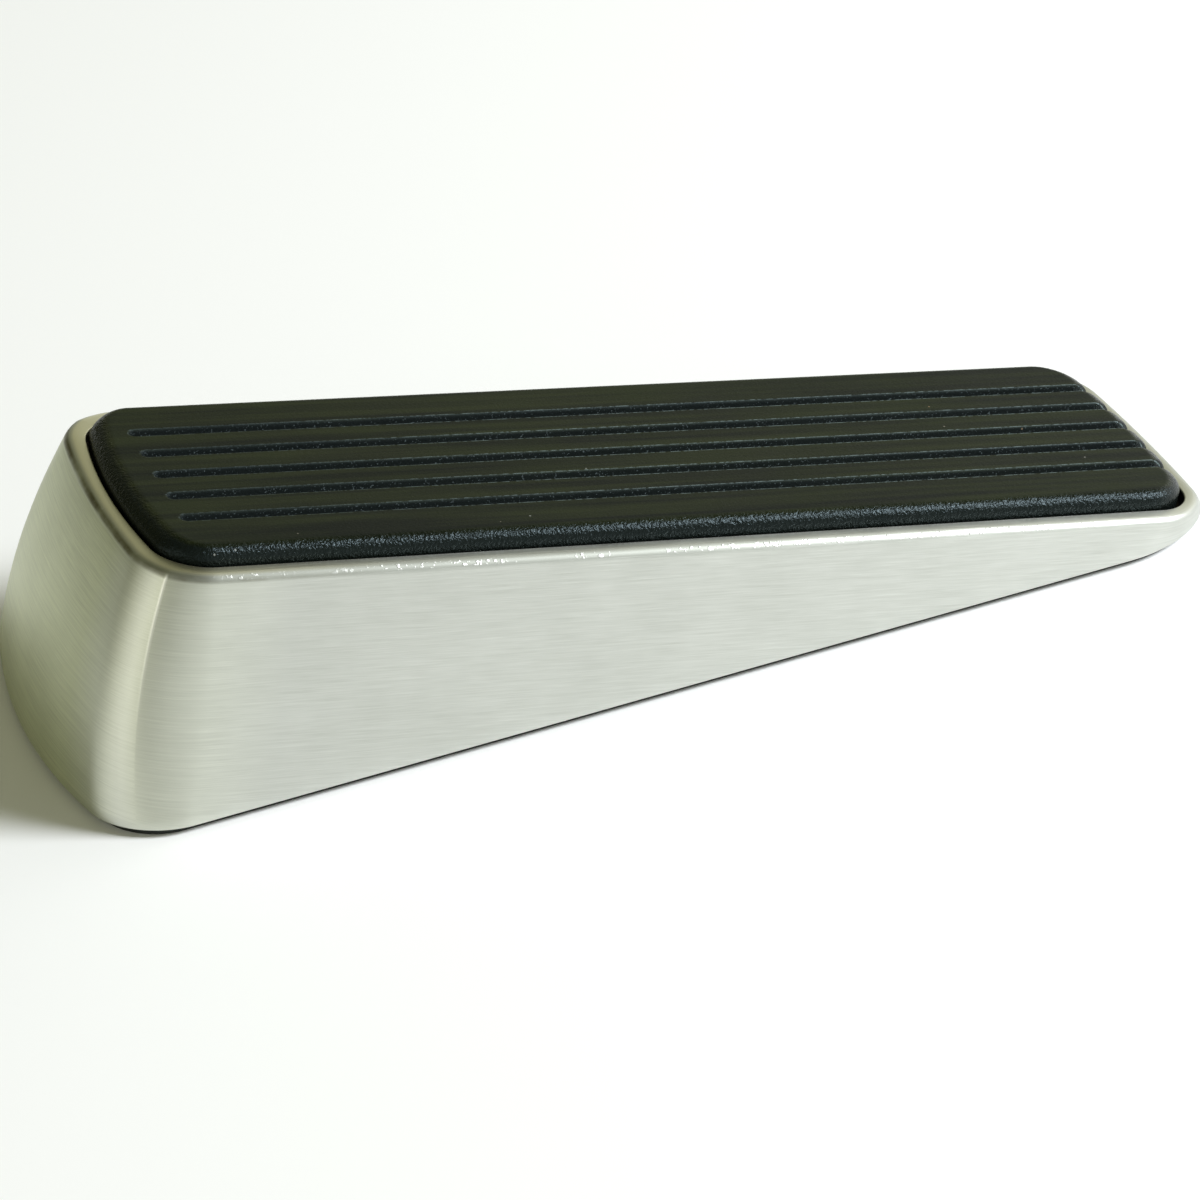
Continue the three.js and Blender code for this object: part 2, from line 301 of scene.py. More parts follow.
def rim_edge_rings():
    """The rim's outer edge, turning from the wall onto the rim's face."""
    wall = outer_ring(1.0)
    rim = sloped(RIM.points(CREASE), 0)
    face = sloped(RIM.inset(RIM_EDGE).points(CREASE), 0)
    rings = []
    for turn in np.linspace(0, 1, EDGE_STEPS + 1):
        rings.append(wall * (1 - turn) ** 2 + rim * 2 * turn * (1 - turn) + face * turn ** 2)
    return rings


def pocket_rings():
    rings = []
    for turn in np.linspace(0, math.pi / 2, POCKET_EDGE_RINGS):
        margin = POCKET_EDGE * (math.sin(turn) - 1)
        rings.append(sloped(POCKET.inset(margin).points(), POCKET_EDGE * (math.cos(turn) - 1)))
    rings.append(sloped(POCKET.points(), -POCKET_DEPTH))
    return rings


def bottom_rings():
    recess = SOLE.inset(-SOLE_CLEARANCE)
    turn = BOTTOM_EDGE * BOTTOM_EDGE_TURN
    return [
        level(recess.points(), STAND + SOLE_RECESS),
        level(recess.points(), STAND),
        level(BASE.inset(BOTTOM_EDGE).points(), STAND),
        level(BASE.inset(turn).points(), STAND + turn),
    ]


def brush_map(piece, rings, first_edge):
    """A UV map in millimetres. U runs round the wedge from the near crease, the way it is
    brushed, and V runs down from the rim's edge, and below 0 in over the rim."""
    size = len(rings[0])
    rim = sloped(RIM.points(CREASE), 0)
    steps = np.linalg.norm(np.roll(rim, -1, axis=0) - rim, axis=1)
    around = np.concatenate(([0.0], np.cumsum(steps)))
    down = [-height_over_rim(ring) for ring in rings[: first_edge + 1]]
    for before, ring in zip(rings[first_edge:], rings[first_edge + 1:]):
        down.append(down[-1] - np.linalg.norm(ring - before, axis=1).mean())
    down = np.concatenate(down)
    layer = piece.data.uv_layers.new(name="brush")
    for polygon in piece.data.polygons:
        vertices = list(polygon.vertices)
        columns = [vertex % size for vertex in vertices]
        wraps = 0 in columns and size - 1 in columns
        for loop, vertex, column in zip(polygon.loop_indices, vertices, columns):
            layer.data[loop].uv = (around[size if wraps and column == 0 else column], down[vertex])
    return around[size], around[FAR_CREASE]


def build_housing():
    wall = [outer_ring(step / WALL_STEPS) for step in range(WALL_STEPS)]
    rings = [*bottom_rings(), *wall, *rim_edge_rings(), *pocket_rings()]
    piece = make_object("housing_shell", np.concatenate(rings), skin_faces(len(rings), len(rings[0])))
    creases = brush_map(piece, rings, len(bottom_rings()) + WALL_STEPS)
    core_out(piece)
    keep_caps_flat(piece)
    return piece, creases


# ---- Cells cored out of the shell's underside --------------------------------------------

LENGTHWISE_RIBS = 2
CROSS_RIBS = 3


def cells_toe():
    """How far along the wedge the cells reach, before it gets too thin for them."""
    roof = RIM_HEIGHT - (POCKET_DEPTH + DECK) / math.cos(SLOPE)
    return RIM_START + (roof - SOLE_RECESS - LEAST_CELL_HEIGHT) / math.tan(SLOPE)


def half_width_inside(along, height):
    """Half the width between the shell's side walls at a place along and above its base."""
    at_base = BASE_WIDTH / 2 + (BASE_TOE_WIDTH - BASE_WIDTH) / 2 * along / BASE_LENGTH
    lean = (BASE_WIDTH - RIM_WIDTH) / 2 / (RIM_HEIGHT + RIM_START * math.tan(SLOPE))
    return at_base - lean * height - WALL


def cell_columns():
    """The spans across the wedge between the walls and the two lengthwise ribs."""
    step = BASE_WIDTH / (LENGTHWISE_RIBS + 1) - RIB / 2
    inner, outer = step / 2 - RIB / 2, step / 2 + RIB / 2
    return [(None, -outer), (-inner, inner), (outer, None)]


def cell_rows():
    """The spans along the wedge between the heel wall, the cross ribs and the toe block."""
    toe = cells_toe()
    edges = [WALL + CELL_RADIUS / 2]
    for rib in range(1, CROSS_RIBS + 1):
        middle = rib * toe / (CROSS_RIBS + 1)
        edges += [middle - RIB / 2, middle + RIB / 2]
    edges.append(toe)
    return list(zip(edges[::2], edges[1::2]))


def cell_vertices(row, column):
    """The eight corners of one cell, bottom four first."""
    corners = []
    for bottom in (True, False):
        for along, side in ((row[0], 0), (row[1], 0), (row[1], 1), (row[0], 1)):
            slope_height = RIM_HEIGHT - (along - RIM_START) * math.tan(SLOPE)
            roof = slope_height - (POCKET_DEPTH + DECK) / math.cos(SLOPE)
            height = 0.0 if bottom else roof
            across = column[side]
            if across is None:
                across = half_width_inside(along, height) * (1 if side else -1)
            lean = 0.0
            if row[0] == along and row[0] < RIM_START:
                lean = RIM_START * height / RIM_HEIGHT
            corners.append((HEEL_X + along + lean, across, STAND + height))
    return corners


CELL_FACES = ((3, 2, 1, 0), (4, 5, 6, 7), (0, 1, 5, 4), (1, 2, 6, 5), (2, 3, 7, 6), (3, 0, 4, 7))


def core_out(piece):
    """Cuts the cells out of the shell."""
    vertices, faces = [], []
    for row in cell_rows():
        for column in cell_columns():
            first = len(vertices)
            vertices += cell_vertices(row, column)
            faces += [tuple(first + corner for corner in face) for face in CELL_FACES]
    cutter = make_object("cells", np.array(vertices), faces, smooth=False)
    apply_boolean(piece, cutter)
    bpy.data.objects.remove(cutter)


def apply_boolean(piece, cutter):
    modifier = piece.modifiers.new("cut", "BOOLEAN")
    modifier.operation = "DIFFERENCE"
    modifier.solver = "EXACT"
    modifier.object = cutter
    graph = bpy.context.evaluated_depsgraph_get()
    cut_mesh = bpy.data.meshes.new_from_object(piece.evaluated_get(graph))
    piece.modifiers.clear()
    piece.data = cut_mesh


# ---- Tread ------------------------------------------------------------------------------

EDGE_TURNS = 14
SIDE_EDGE = TREAD_EDGE_RADIUS
HEEL_EDGE = 2.0
TOE_EDGE = 2.0
EDGE_FALL = 1.45
GROOVE_ROUND = 0.12
# How far each end's rounding is from a quarter circle, towards a slower turn.
HEEL_SLOWNESS = 0.5
TOE_SLOWNESS = 0.25
# The grooves notch the toe end: how deep, how wide, and how far back it is felt.
NOTCH = 2.0
NOTCH_HALF_WIDTH = 1.3
NOTCH_REACH = 4
# The pad's underside, above the pocket's floor, and the least thickness left over it.
UNDERSIDE = 0.4
LEAST_THICKNESS = 0.2
# The painted highlight on a groove's lip: where it lies, how narrow it is, and where it is full
# strength.
LIP = GROOVE_WIDTH / 2 + 1.3 * GROOVE_ROUND
LIP_SPREAD = 0.04
LIP_FAINTEST = 0.25
LIP_FADE = 45
# Places across a groove, from its centre line outwards.
GROOVE_PLACES = np.array(
    [0, 0.12, 0.24, 0.32, 0.39, 0.46, 0.53, 0.6, 0.67, 0.73, 0.77, 0.81, 0.85, 0.9, 1.0]
)
COLUMN_STEP = 0.45
LEAST_COLUMN_STEP = 0.02
MIDDLE_ROWS = 110


def smooth_step(value):
    value = np.clip(value, 0, 1)
    return value * value * (3 - 2 * value)


def groove_centres():
    return (np.arange(GROOVE_COUNT) - (GROOVE_COUNT - 1) / 2) * GROOVE_PITCH


def groove_share(distance):
    """How much of the full depth a groove has at a distance from its centre line."""
    half = GROOVE_WIDTH / 2
    return 1 - smooth_step((distance - (half - 2 * GROOVE_ROUND)) / (3 * GROOVE_ROUND))


def tread_columns():
    """Places across the tread: close together on the rounded edges and at the grooves."""
    half = TREAD.heel_width / 2
    turns = np.linspace(0, math.pi / 2, EDGE_TURNS + 1)
    edge = half - SIDE_EDGE * (1 - np.cos(turns))
    places = [0.0, *edge, *-edge]
    for centre in groove_centres():
        places += [*(centre + GROOVE_PLACES), *(centre - GROOVE_PLACES)]
    flat_half = half - SIDE_EDGE
    places += list(np.arange(-flat_half, flat_half, COLUMN_STEP))
    places = np.unique(np.round(places, 4))
    kept = [places[0]]
    for place in places[1:]:
        if place - kept[-1] > LEAST_COLUMN_STEP or place == places[-1]:
            kept.append(place)
    return np.array(kept)


def end_of(outline, across, toe):
    """Where a straight line down the wedge at a place across it leaves an outline."""
    half = outline.heel_width / 2
    radius = outline.toe_radius if toe else outline.heel_radius
    into = np.clip(np.abs(across) - (half - radius), 0, radius)
    short = radius - np.sqrt(np.maximum(radius ** 2 - into ** 2, 0))
    crown = 1 - (across / half) ** 2
    if toe:
        return outline.start + outline.length - short + outline.toe_bow * crown * (1 - short / BOW_FADE)
    return outline.start + short - outline.heel_bow * crown * (1 - short / BOW_FADE)


def tread_rows():
    """Shares of the way from heel to toe: close on the rounded ends and groove starts."""
    turns = 1 - np.cos(np.linspace(0, math.pi / 2, EDGE_TURNS + 1))
    starts = np.arange(HEEL_EDGE + 0.15, GROOVE_START + 0.8, 0.13)
    middle = np.linspace(GROOVE_START + 1.2, TREAD.length - 4.5, MIDDLE_ROWS)
    close = np.arange(TREAD.length - 4.3, TREAD.length - TOE_EDGE - 0.1, 0.2)
    toe = TREAD.length - TOE_EDGE * turns[::-1]
    return np.concatenate((HEEL_EDGE * turns, starts, middle, close, toe)) / TREAD.length


def edge_fall(along, across):
    """How far the tread's top has fallen away at its rounded edge. The rounding is longer
    at the ends than at the sides."""
    half = TREAD.heel_width / 2
    side = half - np.abs(across)
    crown = 1 - (across / half) ** 2
    heel = along - TREAD.start + TREAD.heel_bow * crown
    toe = TREAD.start + TREAD.length + TREAD.toe_bow * crown - along
    fall = np.zeros_like(along)
    ends = (
        (heel, TREAD.heel_radius, HEEL_EDGE, HEEL_SLOWNESS),
        (toe, TREAD.toe_radius, TOE_EDGE, TOE_SLOWNESS),
    )
    for end, radius, reach, slowness in ends:
        into_side = np.maximum(radius - side, 0)
        into_end = np.maximum(radius - end, 0)
        distance = np.maximum(radius - np.hypot(into_side, into_end), 0)
        turn = np.arctan2(into_end, np.maximum(into_side, 1e-6)) / (math.pi / 2)
        width = SIDE_EDGE + (reach - SIDE_EDGE) * smooth_step(turn)
        short = np.clip(1 - distance / width, 0, 1)
        round_fall = 1 - np.sqrt(1 - short ** 2)
        slow = smooth_step(turn) * slowness
        fall = np.maximum(fall, EDGE_FALL * (round_fall + (short ** 2 - round_fall) * slow))
    return fall


def groove_distance(along, across):
    """The distance from the centre line of the nearest groove."""
    nearest = np.full_like(across, 99.0)
    for centre in groove_centres():
        short = np.maximum(0, GROOVE_START + GROOVE_WIDTH / 2 - along)
        nearest = np.minimum(nearest, np.hypot(short, across - centre))
    return nearest


def build_tread():
    across = tread_columns()
    shares = tread_rows()
    heel = end_of(TREAD, across, False)
    toe = end_of(TREAD, across, True)
    from_centres = np.abs(across[:, None] - groove_centres()[None, :]).min(axis=1)
    notch = NOTCH * (1 - smooth_step(from_centres / NOTCH_HALF_WIDTH))[None, :]
    wide = np.broadcast_to(across, (len(shares), len(across)))
    plain = heel + shares[:, None] * (toe - heel)
    along = plain - notch * smooth_step((plain - toe + NOTCH_REACH) / NOTCH_REACH)
    near_groove = groove_distance(along, wide)
    depth = GROOVE_DEPTH * groove_share(near_groove)
    fall = edge_fall(plain, wide)
    height = TREAD_PROUD - fall - depth
    floor = -POCKET_DEPTH + UNDERSIDE
    height = np.maximum(height, floor + LEAST_THICKNESS)
    rows, columns = along.shape
    top = sloped(np.column_stack((along.ravel(), wide.ravel())), height.ravel())
    bottom = sloped(np.column_stack((plain.ravel(), wide.ravel())), floor)
    border = border_loop(rows, columns)
    vertices = np.concatenate((top, bottom[border]))
    faces = grid_faces(rows, columns)
    base = rows * columns
    for place, index in enumerate(border):
        ahead = (place + 1) % len(border)
        faces.append((index, base + place, base + ahead, border[ahead]))
    faces.append(tuple(base + place for place in range(len(border) - 1, -1, -1)))
    piece = make_object("tread_rubber", vertices, faces)
    # A mask for the painted highlight on the groove lips, faint at the heel.
    edge = np.exp(-((near_groove - LIP) / LIP_SPREAD) ** 2)
    lip_light = smooth_step((along - 2 * GROOVE_START) / LIP_FADE)
    edge = (edge * (LIP_FAINTEST + (1 - LIP_FAINTEST) * lip_light)).ravel()
    inside = smooth_step(groove_share(near_groove) * 5).ravel()
    add_shares(piece, "groove_edge", edge)
    add_shares(piece, "groove", inside)
    add_shares(piece, "rounding", (fall / EDGE_FALL).ravel(), 1.0)
    keep_caps_flat(piece)
    return piece


def border_loop(rows, columns):
    """Indices round the border of a grid, anticlockwise from above."""
    near = [row * columns for row in range(rows)]
    toe = [(rows - 1) * columns + column for column in range(1, columns)]
    far = [row * columns + columns - 1 for row in range(rows - 2, -1, -1)]
    heel = list(range(columns - 2, 0, -1))
    return near + toe + far + heel


def grid_faces(rows, columns):
    faces = []
    for row in range(rows - 1):
        for column in range(columns - 1):
            corner = row * columns + column
            faces.append((corner, corner + columns, corner + columns + 1, corner + 1))
    return faces


def add_shares(piece, name, values, rest=0.0):
    """A number for each vertex, which a material can read. Vertices past the end get rest."""
    layer = piece.data.attributes.new(name, "FLOAT", "POINT")
    full = np.full(len(piece.data.vertices), rest, np.float32)
    full[: len(values)] = values
    layer.data.foreach_set("value", full)


# ---- Sole -------------------------------------------------------------------------------

SOLE_ROUND = 0.2
SOLE_ROUND_RINGS = 5


def build_sole():
    rings = []
    for turn in np.linspace(0, math.pi / 2, SOLE_ROUND_RINGS):
        outline = SOLE.inset(SOLE_ROUND * (1 - math.sin(turn))).points()
        rings.append(level(outline, SOLE_LOW.z + SOLE_ROUND * (1 - math.cos(turn))))
    rings.append(level(SOLE.points(), SOLE_HIGH.z))
    piece = make_object("sole_rubber", np.concatenate(rings), skin_faces(len(rings), len(rings[0])))
    keep_caps_flat(piece)
    return piece


# ---- Materials --------------------------------------------------------------------------

class Nodes:
    """A short way to write a material's node tree."""

    def __init__(self, name):
        self.material = bpy.data.materials.new(name)
        self.material.use_nodes = True
        self.tree = self.material.node_tree
        self.shader = self.tree.nodes["Principled BSDF"]

    def add(self, kind, inputs=None, **settings):
        node = self.tree.nodes.new("ShaderNode" + kind)
        for setting, value in settings.items():
            setattr(node, setting, value)
        for socket, value in (inputs or {}).items():
            self.feed(node.inputs[socket], value)
        return node

    def feed(self, socket, value):
        if isinstance(value, bpy.types.NodeSocket):
            self.tree.links.new(value, socket)
        else:
            socket.default_value = value

    def sum(self, operation, first, second=0.0, third=0.0, clamp=False):
        node = self.add("Math", operation=operation, use_clamp=clamp)
        for socket, value in zip(node.inputs, (first, second, third)):
            self.feed(socket, value)
        return node.outputs[0]

    def times(self, first, *others):
        for other in others:
            first = self.sum("MULTIPLY", first, other)
        return first

    def mixed(self, first, second, share):
        """first and second added up, by the share that first has."""
        return self.sum("ADD", self.times(first, share), self.times(second, 1 - share))

    def span(self, value, low, high, to_low=0.0, to_high=1.0):
        """Runs from to_low to to_high as value runs from low to high, and stops there."""
        ends = {"From Min": low, "From Max": high, "To Min": to_low, "To Max": to_high}
        return self.add("MapRange", {"Value": value, **ends}).outputs["Result"]

    def noise(self, place, scale, detail=3.0, roughness=0.5):
        settings = {"Scale": scale, "Detail": detail, "Roughness": roughness}
        return self.add("TexNoise", {"Vector": place, **settings}).outputs["Fac"]

    def blend(self, share, first, second):
        node = self.add("Mix", data_type="RGBA")
        self.feed(node.inputs["Factor"], share)
        self.feed(node.inputs["A"], first)
        self.feed(node.inputs["B"], second)
        return node.outputs["Result"]

    def bump(self, height, distance, strength=1.0, normal=None):
        node = self.add("Bump", {"Height": height, "Distance": distance, "Strength": strength})
        if normal is not None:
            self.feed(node.inputs["Normal"], normal)
        return node.outputs["Normal"]


def colour(red, green, blue):
    return (red, green, blue, 1.0)


# Colours of the shell's nickel plate, among them painted shade, reflections and highlights.
PLATE = (colour(0.50, 0.515, 0.475), colour(0.66, 0.672, 0.635))
HEEL_SHADED_PLATE = (colour(0.43, 0.455, 0.29), colour(0.62, 0.655, 0.43))
CREASE_LIT_PLATE = (colour(0.60, 0.62, 0.53), colour(0.77, 0.79, 0.68))
RIM_REFLECTION_TINT = colour(0.62, 0.595, 0.42)
RIM_EDGE_SHADE = colour(0.30, 0.31, 0.275)
BROWNED = colour(0.15, 0.125, 0.06)
POCKET_SHADE = colour(0.035, 0.028, 0.020)
CREASE_HIGHLIGHT = colour(1.0, 1.0, 0.97)
NICK_GLINT = colour(1.0, 1.0, 0.99)

# Half the width of the painted highlight along a crease, in millimetres.
CREASE_HIGHLIGHT_HALF_WIDTH = 0.24
# Depths of bump, in metres.
BRUSH_DEPTH = 0.00002
NICK_DEPTH = 0.00005


def brushed_nickel(creases):
    """Satin nickel plate, brushed round the wedge. The heel face carries painted shade: it is darker
    and yellower than the sides, and darker still towards its top. The near side carries a painted
    reflection: it is lighter where it starts and next to the near crease. The rim's face carries a
    khaki painted reflection tint, strongest at the heel, and the deep wall of the pocket a painted
    shade. The rim's outer edge is browned round the heel. Along the sides it is rougher, darkened
    with painted shade, and nicked, and the nicks are painted bright as glints. The creases in the
    heel's corners carry a painted highlight. Distances around and down are in millimetres, and
    along is in metres."""
    n = Nodes("brushed_nickel")
    brush = n.add("UVMap", uv_map="brush").outputs["UV"]
    parts = n.add("SeparateXYZ", {"Vector": brush})
    around, down = parts.outputs["X"], parts.outputs["Y"]
    place = n.add("TexCoord").outputs["Object"]
    along = n.add("SeparateXYZ", {"Vector": place}).outputs["X"]
    near_crease, far_crease = creases

    def streaks(around_scale, down_scale, detail):
        stretched = {"X": n.times(around, around_scale), "Y": n.times(down, down_scale)}
        return n.noise(n.add("CombineXYZ", stretched).outputs["Vector"], 1.0, detail)

    def band(value, middle, half_width):
        off = n.sum("ABSOLUTE", n.sum("SUBTRACT", value, middle))
        return n.sum("SUBTRACT", 1.0, n.sum("DIVIDE", off, half_width), clamp=True)

    hair = streaks(0.25, 11.0, 3.0)
    fine = streaks(0.10, 4.5, 3.0)
    mottle = n.noise(place, 150.0, 4.0)
    lines = n.mixed(hair, fine, 0.55)
    tone = n.mixed(lines, mottle, 0.8)
    plate = n.blend(n.span(tone, 0.3, 0.7), *PLATE)

    # Painted shade on the heel face: darker towards its top, and tinted darker and yellower all over.
    up_the_heel = n.span(down, 18.0, 0.0, -0.04, 0.08)
    shade = n.times(up_the_heel, n.span(around, near_crease - 4.0, near_crease - 20.0))
    heel_shade_tone = n.span(n.sum("SUBTRACT", tone, shade), 0.33, 0.61)
    on_heel = n.times(
        n.span(around, far_crease - 6.0, far_crease),
        n.span(down, 0.0, 1.0),
        n.span(around, near_crease - 1.0, near_crease - 9.0, 0.0, 0.8),
    )
    plate = n.blend(on_heel, plate, n.blend(heel_shade_tone, *HEEL_SHADED_PLATE))
    # Painted reflection: the near side is lighter next to the near crease, on both sides of it, fading
    # over 13 mm along the side.
    lit_by_crease = n.sum(
        "MAXIMUM", n.span(around, 13.0, 2.0), n.span(around, near_crease - 1.8, near_crease)
    )
    plate = n.blend(n.times(lit_by_crease, 0.65), plate, n.blend(n.span(tone, 0.3, 0.7), *CREASE_LIT_PLATE))

    at_heel = n.span(along, -0.028, -0.052)
    patchy = n.span(n.noise(place, 260.0, 4.0), 0.32, 0.6)
    brown = n.times(n.span(band(down, 0.35, 0.42), 0.0, 0.6), patchy, at_heel)
    plate = n.blend(brown, plate, BROWNED)
    # Painted shade along the rim's outer edge on both sides between the ends, which also makes it
    # rougher.
    between_ends = n.times(n.span(along, 0.046, 0.002), n.span(along, -0.057, -0.047))
    shaded_and_rough = n.times(n.span(band(down, 0.05, 0.8), 0.0, 0.5), between_ends)
    plate = n.blend(n.times(shaded_and_rough, 0.85), plate, RIM_EDGE_SHADE)
    # Painted reflection tint: the rim's face turns khaki, most strongly at the heel.
    on_rim = n.times(n.span(down, 0.0, -0.5), n.span(at_heel, 0.0, 1.0, 0.08, 0.85))
    plate = n.blend(on_rim, plate, RIM_REFLECTION_TINT)
    plate = n.blend(n.span(down, -1.95, -2.2), plate, POCKET_SHADE)

    # Painted highlight along the creases in the heel's corners.
    by_near = n.sum(
        "MAXIMUM", band(around, 0.0, CREASE_HIGHLIGHT_HALF_WIDTH), band(around, near_crease, CREASE_HIGHLIGHT_HALF_WIDTH)
    )
    by_either = n.sum("MAXIMUM", by_near, band(around, far_crease, CREASE_HIGHLIGHT_HALF_WIDTH))
    crease_highlight = n.times(by_either, n.span(down, 15.0, 1.0), n.span(down, 0.1, 0.7))
    plate = n.blend(crease_highlight, plate, CREASE_HIGHLIGHT)
    # Nicks in the rim's outer edge: bumped in, and painted bright as glints.
    nick_and_glint = n.times(
        n.span(n.noise(place, 2000.0, 2.0), 0.57, 0.69),
        n.span(band(down, 0.1, 0.4), 0.0, 0.5),
        n.span(n.noise(place, 70.0, 2.0), 0.44, 0.52),
        n.times(n.span(along, -0.058, -0.020), n.span(along, 0.055, 0.045)),
    )
    plate = n.blend(nick_and_glint, plate, NICK_GLINT)

    n.feed(n.shader.inputs["Base Color"], plate)
    n.shader.inputs["Metallic"].default_value = 1.0
    rough = n.span(lines, 0.3, 0.7, 0.34, 0.42)
    n.feed(n.shader.inputs["Roughness"], n.sum("ADD", rough, n.times(shaded_and_rough, 0.16)))
    n.shader.inputs["Anisotropic"].default_value = 0.6
    n.shader.inputs["Anisotropic Rotation"].default_value = 0.25
    tangent = n.add("Tangent", direction_type="UV_MAP", uv_map="brush")
    n.feed(n.shader.inputs["Tangent"], tangent.outputs["Tangent"])
    brushed = n.bump(lines, BRUSH_DEPTH, 0.6)
    n.feed(n.shader.inputs["Normal"], n.bump(nick_and_glint, NICK_DEPTH, 0.7, brushed))
    return n.material


# Colours of the rubber, among them painted shade, glints and highlights, and the depths of its grain in
# metres.
GROOVE_SHADE = colour(0.0045, 0.0062, 0.0060)
GLINTING = colour(0.16, 0.20, 0.21)
LIP_HIGHLIGHT = colour(0.17, 0.22, 0.22)
BROWN_LINT, GREY_LINT = colour(0.30, 0.19, 0.10), colour(0.34, 0.36, 0.34)
PEBBLE_DEPTH = 0.00006
FINE_DEPTH = 0.00009


def rubber(name, dark, light, grain):
    """Moulded rubber: a fine pebbled grain, a faint sheen, faint lengthwise streaks and a few
    bits of lint. Where a piece has grooves, they are darkened with painted shade and flecked with
    painted glints, and their lips carry a painted highlight. Where it has rounded edges, they are
    darkened with painted shade and glossier."""
    n = Nodes(name)
    place = n.add("TexCoord").outputs["Object"]
    pebble = n.add("TexVoronoi", {"Vector": place, "Scale": grain}, feature="SMOOTH_F1")
    fine = n.noise(place, grain * 1.5, 2.0, 0.6)
    cloud = n.noise(place, 90.0, 4.0, 0.55)
    stretched = n.add("Mapping", {"Vector": place, "Scale": (25.0, 900.0, 25.0)})
    streak = n.noise(stretched.outputs["Vector"], 1.0, 3.0)
    edge = n.add("Attribute", attribute_name="groove_edge").outputs["Fac"]
    inside = n.add("Attribute", attribute_name="groove").outputs["Fac"]
    rounding = n.add("Attribute", attribute_name="rounding").outputs["Fac"]

    base = n.blend(n.span(n.mixed(cloud, streak, 0.3), 0.38, 0.62), dark, light)
    # Painted shade in the grooves and on the rounded flanks.
    painted_shade = n.sum("MAXIMUM", inside, n.span(rounding, 0.03, 0.2))
    base = n.blend(n.times(painted_shade, 0.9), base, GROOVE_SHADE)
    glint = n.times(inside, n.span(n.noise(place, 5000.0, 1.0), 0.64, 0.74))
    base = n.blend(n.times(glint, 0.42), base, GLINTING)
    # Painted highlight on the groove lips.
    lip_light = n.times(edge, n.span(n.noise(place, 2400.0, 2.0), 0.38, 0.6))
    base = n.blend(n.times(lip_light, 0.9), base, LIP_HIGHLIGHT)
    lint = n.add("TexVoronoi", {"Vector": place, "Scale": 330.0})
    picks = n.add("SeparateColor", {"Color": lint.outputs["Color"]})
    picked = n.sum("GREATER_THAN", picks.outputs["Red"], 0.6)
    speck = n.times(n.span(lint.outputs["Distance"], 0.045, 0.025), picked)
    lint_colour = n.blend(picks.outputs["Green"], BROWN_LINT, GREY_LINT)
    n.feed(n.shader.inputs["Base Color"], n.blend(n.times(speck, 0.5), base, lint_colour))

    turned = n.span(rounding, 0.0, 0.05)
    rough = n.span(n.sum("ADD", cloud, fine), 0.7, 1.3, 0.18, 0.32)
    duller_lands = n.span(turned, 0.0, 1.0, 0.26, 0.0)
    n.feed(n.shader.inputs["Roughness"], n.sum("ADD", rough, duller_lands))
    n.shader.inputs["Specular IOR Level"].default_value = 0.17
    n.shader.inputs["Specular Tint"].default_value = colour(0.72, 0.94, 1.0)
    pebbled = n.bump(pebble.outputs["Distance"], PEBBLE_DEPTH, n.span(turned, 0.0, 1.0, 0.15, 0.8))
    grained = n.bump(fine, FINE_DEPTH, n.span(turned, 0.0, 1.0, 0.2, 1.0), pebbled)
    n.feed(n.shader.inputs["Normal"], grained)
    return n.material


FILM = (colour(0.62, 0.52, 0.30), colour(0.78, 0.72, 0.52))
BUBBLE_DEPTH = 0.00002


def adhesive_film():
    """A cloudy, amber film with bubbles pressed flat in it."""
    n = Nodes("adhesive_film")
    place = n.add("TexCoord").outputs["Object"]
    cloud = n.noise(place, 200.0, 4.0)
    bubble = n.add("TexVoronoi", {"Vector": place, "Scale": 700.0}).outputs["Distance"]
    n.feed(n.shader.inputs["Base Color"], n.blend(n.span(cloud, 0.3, 0.7), *FILM))
    n.feed(n.shader.inputs["Roughness"], n.span(cloud, 0.3, 0.7, 0.25, 0.5))
    n.feed(n.shader.inputs["Normal"], n.bump(bubble, BUBBLE_DEPTH, 0.4))
    return n.material


def pale_floor():
    n = Nodes("pale_floor")
    n.shader.inputs["Base Color"].default_value = colour(0.90, 0.90, 0.90)
    n.shader.inputs["Roughness"].default_value = 0.9
    n.shader.inputs["Specular IOR Level"].default_value = 0.1
    return n.material


def wear(piece, material):
    piece.data.materials.clear()
    piece.data.materials.append(material)


# ---- Pieces -----------------------------------------------------------------------------

def add_piece(piece, node, material):
    wear(piece, material)
    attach(piece, "root")
    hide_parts(node)


# Each rubber's dark and light colours and the scale of its grain.
TREAD_RUBBER = (colour(0.0008, 0.0016, 0.0003), colour(0.0112, 0.0140, 0.0034), 2600.0)
SOLE_RUBBER = (colour(0.016, 0.016, 0.014), colour(0.028, 0.028, 0.025), 1800.0)


def dress_object():
    tread_rubber = rubber("tread_rubber", *TREAD_RUBBER)
    sole_rubber = rubber("sole_rubber", *SOLE_RUBBER)
    shell, creases = build_housing()
    add_piece(shell, "housing", brushed_nickel(creases))
    add_piece(build_tread(), "tread_pad", tread_rubber)
    add_piece(build_sole(), "sole_pad", sole_rubber)
    film = adhesive_film()
    for node in ("tread_adhesive", "sole_adhesive"):
        wear(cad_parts[node], film)


# ---- Camera and studio ------------------------------------------------------------------

# Lengths in millimetres and angles in degrees.
CAMERA_TARGET = Vector((-8.52, -20.08, 12.75))
CAMERA_DISTANCE = 440.4
CAMERA_AZIMUTH = -19.67
CAMERA_ELEVATION = 32.15
CAMERA_ROLL = -2.97
CAMERA_LENS = 133.75
NEAREST_SEEN = 0.01
FLOOR_REACH = 3000.0


def direction(azimuth, elevation):
    """Towards a place seen at an azimuth from the front, -Y, and an elevation, in degrees."""
    turn, rise = math.radians(azimuth), math.radians(elevation)
    return Vector((math.sin(turn) * math.cos(rise), -math.cos(turn) * math.cos(rise), math.sin(rise)))


